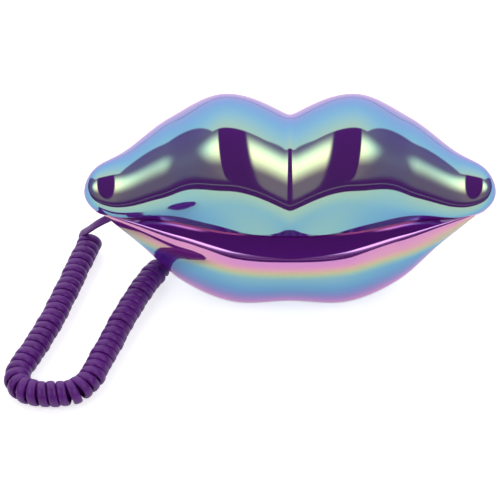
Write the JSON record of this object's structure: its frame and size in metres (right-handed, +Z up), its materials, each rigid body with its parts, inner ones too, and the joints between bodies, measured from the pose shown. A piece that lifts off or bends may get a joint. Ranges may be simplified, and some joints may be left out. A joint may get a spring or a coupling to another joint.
{
  "type": "novelty lips-shaped telephone",
  "caption": "Table telephone shaped as a pair of lips: the upper lip lifts off as the handset, the lower lip is the base, with a curly cord.",
  "frame": {"origin": "on the table under the middle of the telephone, its cord left out", "axes": "+X along the lips to the viewer's right, +Y away from the viewer towards the back, +Z up"},
  "size_m": [0.2466, 0.1447, 0.1024],
  "materials": {
    "shell_gloss": "glossy purple with a thin-film lustre",
    "inner_plastic": "fine satin moulding",
    "key_plastic": "satin moulding",
    "key_rubber": "moulded silicone",
    "foot_rubber": "matt rubber",
    "board": "solder mask",
    "capsule_metal": "plain",
    "ringer_brass": "plain",
    "ballast_iron": "as cast",
    "socket_plastic": "plain",
    "line_socket_plastic": "plain",
    "plug_clear": "clear moulding",
    "plunger_plastic": "satin moulding",
    "knob_plastic": "ribbed moulding",
    "steel": "zinc plated",
    "cord_vinyl": "satin vinyl"
  },
  "bodies": {
    "base": {"base_shell": "shell_gloss", "base_plate": "inner_plastic", "rubber_feet": "foot_rubber", "seat_pads": "foot_rubber", "hook_spring": "steel", "hook_switch": "socket_plastic", "base_board": "board", "ringer": "ringer_brass", "ballast_weight": "ballast_iron", "ringer_switch": "socket_plastic", "tone_switch": "socket_plastic", "line_jack": "line_socket_plastic", "base_jack": "socket_plastic", "base_screws": "steel", "base_plug": "plug_clear", "base_lead": "cord_vinyl", "curly_coil": "cord_vinyl", "handset_lead": "cord_vinyl"},
    "handset": {"handset_shell": "shell_gloss", "handset_cover": "inner_plastic", "key_mat": "key_rubber", "handset_board": "board", "earpiece_speaker": "capsule_metal", "earpiece_gasket": "key_rubber", "microphone": "capsule_metal", "microphone_boot": "key_rubber", "handset_jack": "socket_plastic", "handset_screws": "steel", "handset_plug": "plug_clear"},
    "key_3": {"key_3": "key_plastic"},
    "key_6": {"key_6": "key_plastic"},
    "key_9": {"key_9": "key_plastic"},
    "key_hash": {"key_hash": "key_plastic"},
    "key_2": {"key_2": "key_plastic"},
    "key_5": {"key_5": "key_plastic"},
    "key_8": {"key_8": "key_plastic"},
    "key_0": {"key_0": "key_plastic"},
    "key_1": {"key_1": "key_plastic"},
    "key_4": {"key_4": "key_plastic"},
    "key_7": {"key_7": "key_plastic"},
    "key_star": {"key_star": "key_plastic"},
    "key_redial": {"key_redial": "key_plastic"},
    "key_flash": {"key_flash": "key_plastic"},
    "hook": {"hook_plunger": "plunger_plastic"},
    "ringer_slider": {"ringer_knob": "knob_plastic"},
    "tone_slider": {"tone_knob": "knob_plastic"}
  },
  "joints": [
    {"name": "handset_lift", "type": "slide", "parent": "base", "child": "handset", "axis": [0, 0, 1], "range_m": [0, 0.06]},
    {"name": "key_3_press", "type": "slide", "parent": "handset", "child": "key_3", "axis": [0, 0, 1], "range_m": [0, 0.0012], "stiffness_N_per_m": 400, "springref_m": -0.0005},
    {"name": "key_6_press", "type": "slide", "parent": "handset", "child": "key_6", "axis": [0, 0, 1], "range_m": [0, 0.0012], "stiffness_N_per_m": 400, "springref_m": -0.0005},
    {"name": "key_9_press", "type": "slide", "parent": "handset", "child": "key_9", "axis": [0, 0, 1], "range_m": [0, 0.0012], "stiffness_N_per_m": 400, "springref_m": -0.0005},
    {"name": "key_hash_press", "type": "slide", "parent": "handset", "child": "key_hash", "axis": [0, 0, 1], "range_m": [0, 0.0012], "stiffness_N_per_m": 400, "springref_m": -0.0005},
    {"name": "key_2_press", "type": "slide", "parent": "handset", "child": "key_2", "axis": [0, 0, 1], "range_m": [0, 0.0012], "stiffness_N_per_m": 400, "springref_m": -0.0005},
    {"name": "key_5_press", "type": "slide", "parent": "handset", "child": "key_5", "axis": [0, 0, 1], "range_m": [0, 0.0012], "stiffness_N_per_m": 400, "springref_m": -0.0005},
    {"name": "key_8_press", "type": "slide", "parent": "handset", "child": "key_8", "axis": [0, 0, 1], "range_m": [0, 0.0012], "stiffness_N_per_m": 400, "springref_m": -0.0005},
    {"name": "key_0_press", "type": "slide", "parent": "handset", "child": "key_0", "axis": [0, 0, 1], "range_m": [0, 0.0012], "stiffness_N_per_m": 400, "springref_m": -0.0005},
    {"name": "key_1_press", "type": "slide", "parent": "handset", "child": "key_1", "axis": [0, 0, 1], "range_m": [0, 0.0012], "stiffness_N_per_m": 400, "springref_m": -0.0005},
    {"name": "key_4_press", "type": "slide", "parent": "handset", "child": "key_4", "axis": [0, 0, 1], "range_m": [0, 0.0012], "stiffness_N_per_m": 400, "springref_m": -0.0005},
    {"name": "key_7_press", "type": "slide", "parent": "handset", "child": "key_7", "axis": [0, 0, 1], "range_m": [0, 0.0012], "stiffness_N_per_m": 400, "springref_m": -0.0005},
    {"name": "key_star_press", "type": "slide", "parent": "handset", "child": "key_star", "axis": [0, 0, 1], "range_m": [0, 0.0012], "stiffness_N_per_m": 400, "springref_m": -0.0005},
    {"name": "key_redial_press", "type": "slide", "parent": "handset", "child": "key_redial", "axis": [0, 0, 1], "range_m": [0, 0.0012], "stiffness_N_per_m": 400, "springref_m": -0.0005},
    {"name": "key_flash_press", "type": "slide", "parent": "handset", "child": "key_flash", "axis": [0, 0, 1], "range_m": [0, 0.0012], "stiffness_N_per_m": 400, "springref_m": -0.0005},
    {"name": "hook_rise", "type": "slide", "parent": "base", "child": "hook", "axis": [0, 0, 1], "range_m": [0, 0.004], "stiffness_N_per_m": 60, "springref_m": 0.006, "deforming": ["hook_spring"]},
    {"name": "ringer_slide", "type": "slide", "parent": "base", "child": "ringer_slider", "axis": [1, 0, 0], "range_m": [0, 0.004]},
    {"name": "tone_slide", "type": "slide", "parent": "base", "child": "tone_slider", "axis": [1, 0, 0], "range_m": [0, 0.004]}
  ],
  "couplings": [
    {"joint": "hook_rise", "follows": "handset_lift", "ratio": 0.0666}
  ]
}
